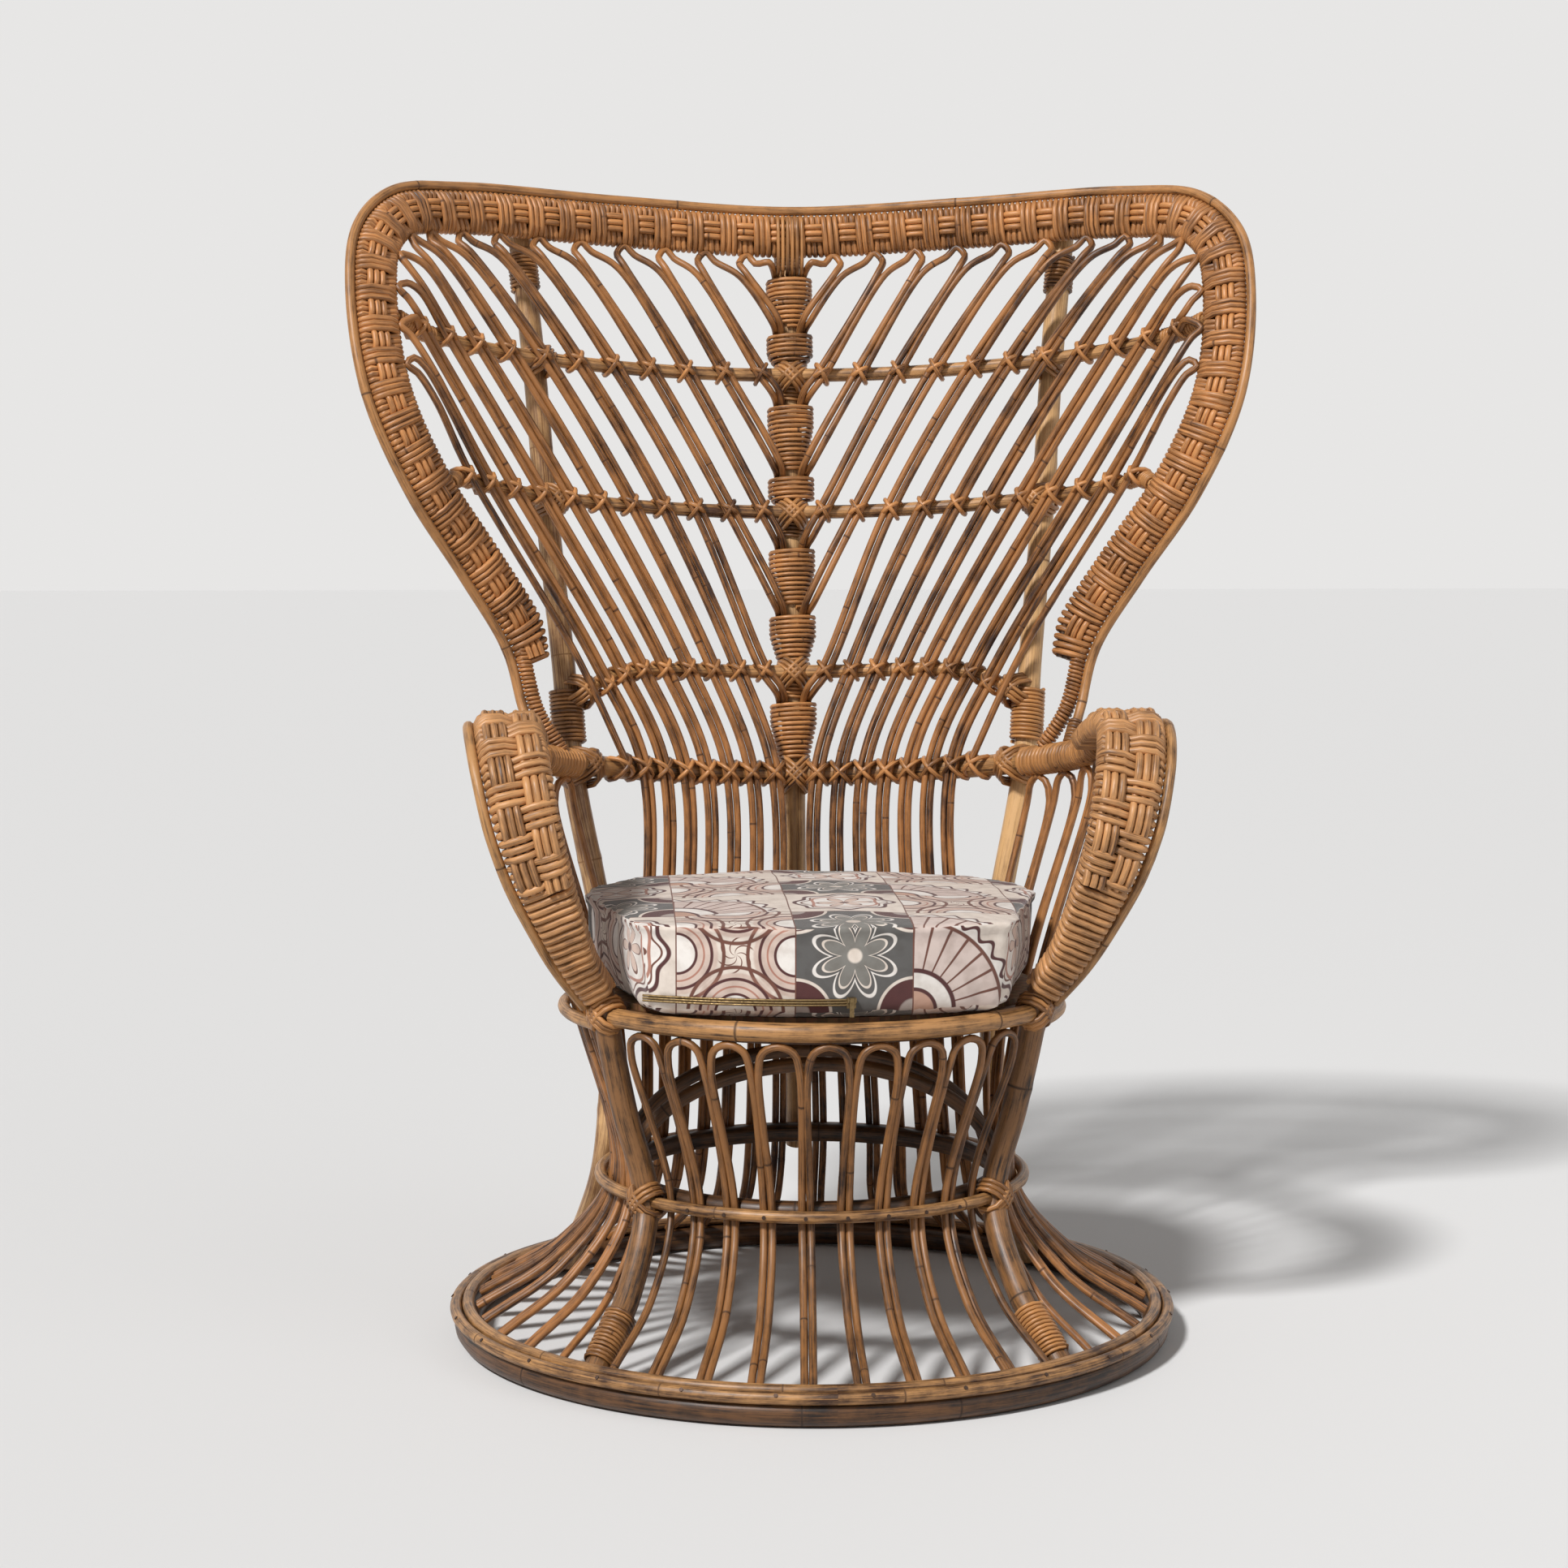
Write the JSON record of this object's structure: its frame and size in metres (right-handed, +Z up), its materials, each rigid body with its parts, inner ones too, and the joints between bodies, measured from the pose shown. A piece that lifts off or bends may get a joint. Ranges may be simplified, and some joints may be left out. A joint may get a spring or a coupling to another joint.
{
  "type": "peacock chair",
  "caption": "Rattan peacock armchair with a flared ring base, a winged cane back with a woven rim, woven arms and a loose bow-fronted seat cushion.",
  "frame": {"origin": "middle of the chair's footprint box, on the floor", "axes": "+Z up, the chair faces -Y, +X to the right as seen from the front"},
  "size_m": [1.0028, 0.8432, 1.2553],
  "materials": {
    "rattan_light": "satin",
    "rattan_mid": "satin",
    "rattan_dark": "satin",
    "rattan_wrap": "satin",
    "cushion_cover": "matte",
    "zip_metal": "satin"
  },
  "bodies": {
    "frame": {"base_hoop": "rattan_mid", "base_ring_outer": "rattan_light", "base_ring_inner": "rattan_light", "front_leg_left": "rattan_light", "front_leg_right": "rattan_light", "waist_hoop_inner": "rattan_mid", "waist_hoop_front": "rattan_light", "waist_hoop_rear": "rattan_light", "seat_hoop_inner": "rattan_dark", "front_seat_rail": "rattan_mid", "seat_hoop_outer": "rattan_light", "seat_deck": "rattan_dark", "arch_brace_front": "rattan_dark", "arch_brace_rear": "rattan_dark", "rim_edge_cane": "rattan_mid", "rim_band": "rattan_wrap", "back_rail_lower": "rattan_mid", "back_rail_middle": "rattan_mid", "back_rail_upper": "rattan_mid", "spine_post": "rattan_light", "rear_post_left": "rattan_light", "rear_post_right": "rattan_light", "arm_band_left": "rattan_wrap", "arm_edge_cane_left": "rattan_mid", "arm_band_right": "rattan_wrap", "arm_edge_cane_right": "rattan_mid", "arm_hoop": "rattan_mid", "rim_tail_left": "rattan_wrap", "rim_tail_right": "rattan_wrap", "front_canes_1": "rattan_mid", "front_canes_2": "rattan_mid", "front_canes_3": "rattan_mid", "side_canes_left_1": "rattan_mid", "side_canes_left_2": "rattan_mid", "side_canes_right_1": "rattan_mid", "side_canes_right_2": "rattan_mid", "back_canes_left_1": "rattan_mid", "back_canes_left_2": "rattan_mid", "back_canes_left_3": "rattan_mid", "back_canes_right_1": "rattan_mid", "back_canes_right_2": "rattan_mid", "back_canes_right_3": "rattan_mid", "spine_wrap_1": "rattan_dark", "spine_wrap_2": "rattan_dark", "spine_wrap_3": "rattan_dark", "spine_wrap_4": "rattan_dark", "spine_wrap_5": "rattan_dark", "spine_wrap_6": "rattan_dark", "spine_wrap_7": "rattan_dark"},
    "cushion": {"seat_cushion": "cushion_cover"},
    "slider": {"zip_slider": "zip_metal"},
    "pull": {"zip_pull": "zip_metal"}
  },
  "joints": [
    {"name": "cushion_lift", "type": "slide", "parent": "frame", "child": "cushion", "axis": [0, 0, 1], "range_m": [0, 0.25]},
    {"name": "zip_travel", "type": "hinge", "parent": "cushion", "child": "slider", "pos_m": [0, 0.13116, 0.39583], "axis": [0, 0, 1], "range_deg": [-26, 0]},
    {"name": "pull_swing", "type": "hinge", "parent": "slider", "child": "pull", "pos_m": [0.02237, -0.2956, 0.39913], "axis": [-0.9986, -0.0523, 0], "range_deg": [0, 110]}
  ]
}
